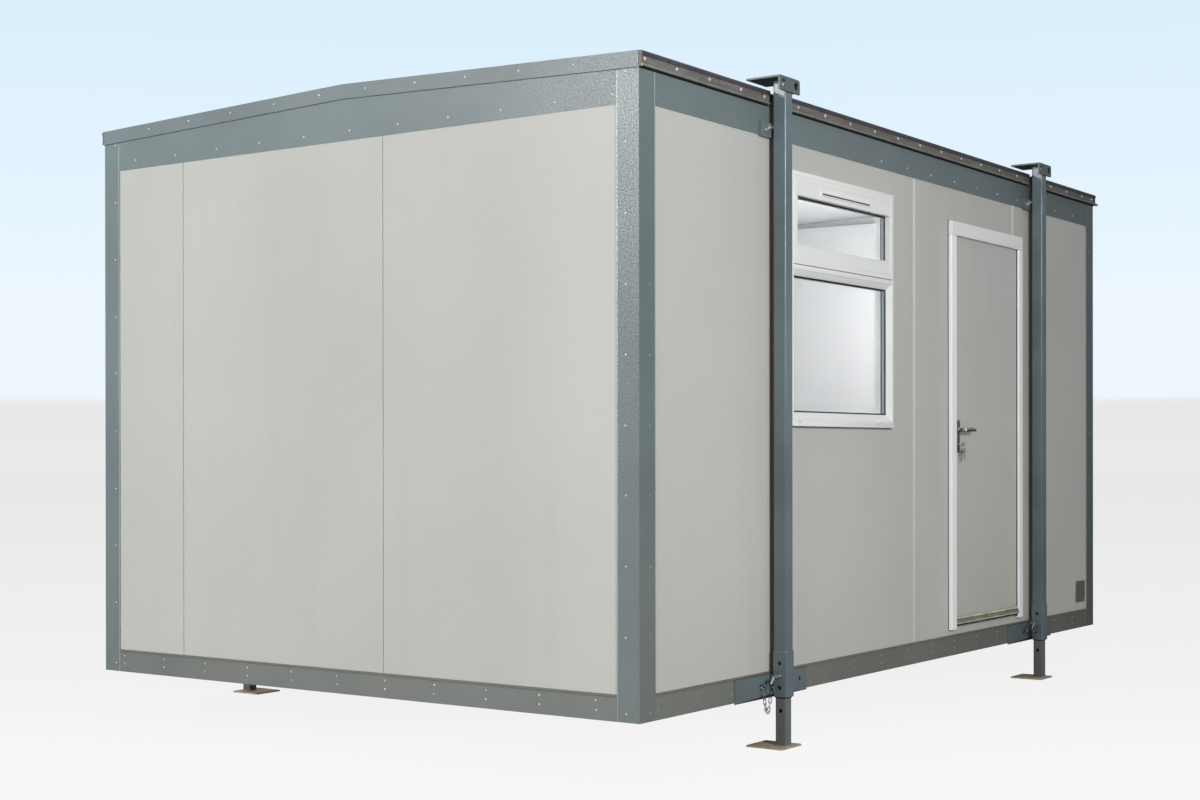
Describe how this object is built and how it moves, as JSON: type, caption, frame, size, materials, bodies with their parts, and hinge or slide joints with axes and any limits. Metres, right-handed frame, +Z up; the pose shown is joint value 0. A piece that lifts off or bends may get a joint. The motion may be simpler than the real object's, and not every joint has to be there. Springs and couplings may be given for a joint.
{
  "type": "portable site cabin",
  "caption": "Steel-clad portable site cabin on four jack legs, with an opening door, a window and lifting angles.",
  "frame": {"origin": "on the ground under the centre of the cabin", "axes": "+X along the length towards the door end, -Y out of the front wall with the door and window, +Z up"},
  "size_m": [4.76, 3.2, 2.766],
  "materials": {
    "alu_sill": "mill-finish aluminium",
    "chassis_paint": "semi-matt dark grey paint",
    "dark_packer": "brown-black weathered bar",
    "door_skin": "light grey coated steel",
    "eaves_metal": "weathered galvanised steel with rivets",
    "floor_ply": "board with grey vinyl on top",
    "glazing": "double glazing",
    "leg_paint": "blue-grey gloss paint, worn",
    "panel_skin": "light grey stucco-embossed coated steel",
    "plate_dark": "bare dark plate",
    "roof_skin": "grey plastic-coated steel",
    "stainless": "satin stainless",
    "trim_steel": "grey-green plastic-coated folded steel, fine leather-grain emboss",
    "upvc": "white extruded plastic",
    "zinc": "bright zinc plate"
  },
  "bodies": {
    "cabin": {"back_wall_panels": "panel_skin", "base_trims_gables": "trim_steel", "base_trims_long_sides": "trim_steel", "chassis_cross_members": "chassis_paint", "chassis_rails": "chassis_paint", "corner_trims": "trim_steel", "data_plate": "plate_dark", "door_head": "upvc", "door_jamb_left": "upvc", "door_jamb_right": "upvc", "door_threshold": "alu_sill", "eaves_edges": "eaves_metal", "fascias_gables": "trim_steel", "fascias_long_sides": "trim_steel", "floor_deck": "floor_ply", "front_panel_beside_door": "panel_skin", "front_panel_left": "panel_skin", "front_panel_right": "panel_skin", "hinge_leaves_frame": "zinc", "jack_leg_foot_plates": "leg_paint", "jack_leg_inner_tubes": "leg_paint", "jack_leg_tubes": "leg_paint", "left_wall_panels": "panel_skin", "leg_bracket_plates": "leg_paint", "leg_clamps": "leg_paint", "leg_pins": "zinc", "leg_spacer_bars": "dark_packer", "lifting_angles": "leg_paint", "over_door_panel": "panel_skin", "pin_chains": "zinc", "right_wall_panels": "panel_skin", "roof_back_slope": "roof_skin", "roof_front_slope": "roof_skin", "under_door_panel": "panel_skin", "verge_trims": "eaves_metal", "window_frame": "upvc", "window_glass_lower": "glazing", "window_glass_upper": "glazing", "window_panel": "panel_skin", "window_vent_sash": "upvc"},
    "door": {"door_leaf": "door_skin", "hinge_leaves_door": "zinc", "handle_backplates": "stainless", "lock_cylinder": "stainless"},
    "lever": {"door_lever": "stainless"}
  },
  "joints": [
    {"name": "door_hinge", "type": "hinge", "parent": "cabin", "child": "door", "pos_m": [1.222, -1.432, 1.3535], "axis": [0, 0, -1], "range_deg": [0, 100]},
    {"name": "lever_turn", "type": "hinge", "parent": "door", "child": "lever", "pos_m": [0.465, -1.474, 1.33], "axis": [0, 1, 0], "range_deg": [0, 40], "stiffness_Nm_per_rad": 1.2, "springref_deg": -20.05}
  ]
}
